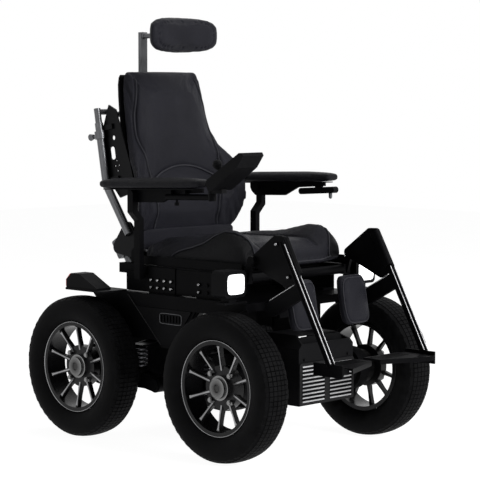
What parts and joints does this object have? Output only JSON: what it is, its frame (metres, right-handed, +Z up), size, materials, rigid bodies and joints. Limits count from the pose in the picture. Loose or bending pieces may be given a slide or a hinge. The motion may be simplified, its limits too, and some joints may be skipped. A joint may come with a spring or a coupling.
{
  "type": "all terrain power wheelchair",
  "caption": "Power wheelchair with sprung swing arms, balloon tyres on spoked alloy wheels, padded seat, reclining back, headrest, flip-up armrests with joystick and elevating legrests.",
  "frame": {"origin": "on the floor, under the middle of the chair's length and width", "axes": "+Z up; the chair faces -Y, and +X is the rider's left"},
  "size_m": [0.738, 1.1898, 1.292],
  "materials": {
    "satin_black": "satin black powder coat",
    "dark_alloy": "dark anodised alloy with bright edges",
    "bright_alloy": "machined and polished",
    "grey_alloy": "satin anodised",
    "spring_steel": "oiled spring wire",
    "tread_rubber": "matt black rubber",
    "black_leather": "soft grained leather with stitched seams",
    "moulded_black": "fine textured moulding",
    "battery_case": "plain grey case",
    "lamp_glass": "clear lens lit white",
    "lamp_red": "red lens",
    "grille_grey": "light grey paint",
    "button_red": "red cap",
    "button_grey": "light grey cap"
  },
  "bodies": {
    "chassis": {"chassis_frame": "satin_black", "deck": "satin_black", "tie_downs": "satin_black", "side_panels": "moulded_black", "front_cover": "moulded_black", "front_grille": "grille_grey", "battery_pack": "battery_case", "motor_controller": "satin_black", "rear_fenders": "moulded_black", "tail_lamp_lenses": "lamp_red", "headlamp_housings": "moulded_black", "headlamp_lenses": "lamp_glass", "seat_frame": "satin_black", "seat_cushion": "black_leather", "armrest_posts": "satin_black", "spring_front_left": "spring_steel", "spring_front_right": "spring_steel", "spring_rear_left": "spring_steel", "spring_rear_right": "spring_steel"},
    "arm_front_left": {"swing_arm_front_left": "satin_black"},
    "wheel_front_left": {"tyre_front_left": "tread_rubber", "rim_front_left": "dark_alloy", "hub_front_left": "bright_alloy"},
    "arm_front_right": {"swing_arm_front_right": "satin_black"},
    "wheel_front_right": {"tyre_front_right": "tread_rubber", "rim_front_right": "dark_alloy", "hub_front_right": "bright_alloy"},
    "arm_rear_left": {"swing_arm_rear_left": "satin_black"},
    "wheel_rear_left": {"tyre_rear_left": "tread_rubber", "rim_rear_left": "dark_alloy", "hub_rear_left": "bright_alloy"},
    "arm_rear_right": {"swing_arm_rear_right": "satin_black"},
    "wheel_rear_right": {"tyre_rear_right": "tread_rubber", "rim_rear_right": "dark_alloy", "hub_rear_right": "bright_alloy"},
    "back": {"back_frame": "grey_alloy", "back_shell": "moulded_black", "back_cushion": "black_leather", "recline_motor": "grey_alloy"},
    "push_bar": {"push_bar": "grey_alloy"},
    "headrest_post": {"headrest_stem": "grey_alloy"},
    "headrest": {"headrest_bracket": "satin_black", "headrest_pad": "black_leather"},
    "armrest_left": {"armrest_left": "satin_black", "arm_pad_left": "black_leather", "switch_bar": "moulded_black"},
    "armrest_right": {"armrest_right": "satin_black", "arm_pad_right": "black_leather"},
    "joystick": {"joystick_housing": "moulded_black"},
    "joystick_gimbal": {"joystick_gimbal": "grey_alloy"},
    "joystick_knob": {"joystick_knob": "moulded_black"},
    "power_button": {"power_button": "button_red"},
    "horn_button": {"horn_button": "button_grey"},
    "switch_lever": {"switch_lever": "grey_alloy"},
    "legrest_left": {"legrest_left": "satin_black"},
    "calf_pad_left": {"calf_pad_left": "black_leather"},
    "footplate_left": {"footplate_left": "satin_black"},
    "legrest_right": {"legrest_right": "satin_black"},
    "calf_pad_right": {"calf_pad_right": "black_leather"},
    "footplate_right": {"footplate_right": "satin_black"}
  },
  "joints": [
    {"name": "suspension_front_left", "type": "hinge", "parent": "chassis", "child": "arm_front_left", "pos_m": [0.225, 0.01188, 0.175], "axis": [-1, 0, 0], "range_deg": [-4, 3.5], "stiffness_Nm_per_rad": 1500, "springref_deg": -2.61, "deforming": ["spring_front_left"]},
    {"name": "spin_front_left", "type": "hinge", "parent": "arm_front_left", "child": "wheel_front_left", "pos_m": [0.316, -0.23412, 0.217], "axis": [1, 0, 0], "continuous": true},
    {"name": "suspension_front_right", "type": "hinge", "parent": "chassis", "child": "arm_front_right", "pos_m": [-0.225, 0.01188, 0.175], "axis": [-1, 0, 0], "range_deg": [-4, 3.5], "stiffness_Nm_per_rad": 1500, "springref_deg": -2.61, "deforming": ["spring_front_right"]},
    {"name": "spin_front_right", "type": "hinge", "parent": "arm_front_right", "child": "wheel_front_right", "pos_m": [-0.316, -0.23412, 0.217], "axis": [1, 0, 0], "continuous": true},
    {"name": "suspension_rear_left", "type": "hinge", "parent": "chassis", "child": "arm_rear_left", "pos_m": [0.225, 0.13188, 0.175], "axis": [1, 0, 0], "range_deg": [-4, 3.5], "stiffness_Nm_per_rad": 1500, "springref_deg": -2.1, "deforming": ["spring_rear_left"]},
    {"name": "spin_rear_left", "type": "hinge", "parent": "arm_rear_left", "child": "wheel_rear_left", "pos_m": [0.316, 0.37788, 0.217], "axis": [1, 0, 0], "continuous": true},
    {"name": "suspension_rear_right", "type": "hinge", "parent": "chassis", "child": "arm_rear_right", "pos_m": [-0.225, 0.13188, 0.175], "axis": [1, 0, 0], "range_deg": [-4, 3.5], "stiffness_Nm_per_rad": 1500, "springref_deg": -2.1, "deforming": ["spring_rear_right"]},
    {"name": "spin_rear_right", "type": "hinge", "parent": "arm_rear_right", "child": "wheel_rear_right", "pos_m": [-0.316, 0.37788, 0.217], "axis": [1, 0, 0], "continuous": true},
    {"name": "recline", "type": "hinge", "parent": "chassis", "child": "back", "pos_m": [0, 0.24688, 0.565], "axis": [-1, 0, 0], "range_deg": [0, 30]},
    {"name": "push_bar_slide", "type": "slide", "parent": "back", "child": "push_bar", "axis": [0, 0.1788, 0.9839], "range_m": [0, 0.12]},
    {"name": "headrest_slide", "type": "slide", "parent": "back", "child": "headrest_post", "axis": [0, 0, 1], "range_m": [0, 0.08]},
    {"name": "headrest_tilt", "type": "hinge", "parent": "headrest_post", "child": "headrest", "pos_m": [0, 0.33788, 1.232], "axis": [1, 0, 0], "range_deg": [-25, 25]},
    {"name": "armrest_left_flip", "type": "hinge", "parent": "chassis", "child": "armrest_left", "pos_m": [0.28, 0.18988, 0.751], "axis": [-1, 0, 0], "range_deg": [0, 88]},
    {"name": "armrest_right_flip", "type": "hinge", "parent": "chassis", "child": "armrest_right", "pos_m": [-0.28, 0.18988, 0.751], "axis": [-1, 0, 0], "range_deg": [0, 88]},
    {"name": "joystick_swing", "type": "hinge", "parent": "armrest_right", "child": "joystick", "pos_m": [-0.28, -0.14992, 0.76287], "axis": [0, -0.0349, -0.9994], "range_deg": [0, 60]},
    {"name": "joystick_fore_aft", "type": "hinge", "parent": "joystick", "child": "joystick_gimbal", "pos_m": [-0.28, -0.1923, 0.81489], "axis": [1, 0, 0], "range_deg": [-18, 18], "stiffness_Nm_per_rad": 0.5},
    {"name": "joystick_side", "type": "hinge", "parent": "joystick_gimbal", "child": "joystick_knob", "pos_m": [-0.28, -0.1923, 0.81489], "axis": [0, 0.848, -0.5299], "range_deg": [-18, 18], "stiffness_Nm_per_rad": 0.5},
    {"name": "power_press", "type": "slide", "parent": "joystick", "child": "power_button", "axis": [0, -0.5299, -0.848], "range_m": [0, 0.002], "stiffness_N_per_m": 900},
    {"name": "horn_press", "type": "slide", "parent": "joystick", "child": "horn_button", "axis": [0, -0.5299, -0.848], "range_m": [0, 0.002], "stiffness_N_per_m": 900},
    {"name": "switch_rock", "type": "hinge", "parent": "armrest_left", "child": "switch_lever", "pos_m": [0.28, -0.10643, 0.74734], "axis": [1, 0, 0], "range_deg": [-18, 18], "stiffness_Nm_per_rad": 0.1},
    {"name": "legrest_left_raise", "type": "hinge", "parent": "chassis", "child": "legrest_left", "pos_m": [0.206, -0.24612, 0.573], "axis": [-1, 0, 0], "range_deg": [0, 55]},
    {"name": "calf_pad_left_turn", "type": "hinge", "parent": "legrest_left", "child": "calf_pad_left", "pos_m": [0.112, -0.31553, 0.43891], "axis": [1, 0, 0], "range_deg": [-12, 12]},
    {"name": "footplate_left_flip", "type": "hinge", "parent": "legrest_left", "child": "footplate_left", "pos_m": [0.184, -0.53112, 0.28441], "axis": [0, 1, 0], "range_deg": [0, 90]},
    {"name": "legrest_right_raise", "type": "hinge", "parent": "chassis", "child": "legrest_right", "pos_m": [-0.206, -0.24612, 0.573], "axis": [-1, 0, 0], "range_deg": [0, 55]},
    {"name": "calf_pad_right_turn", "type": "hinge", "parent": "legrest_right", "child": "calf_pad_right", "pos_m": [-0.112, -0.31553, 0.43891], "axis": [1, 0, 0], "range_deg": [-12, 12]},
    {"name": "footplate_right_flip", "type": "hinge", "parent": "legrest_right", "child": "footplate_right", "pos_m": [-0.184, -0.53112, 0.28441], "axis": [0, -1, 0], "range_deg": [0, 90]}
  ]
}
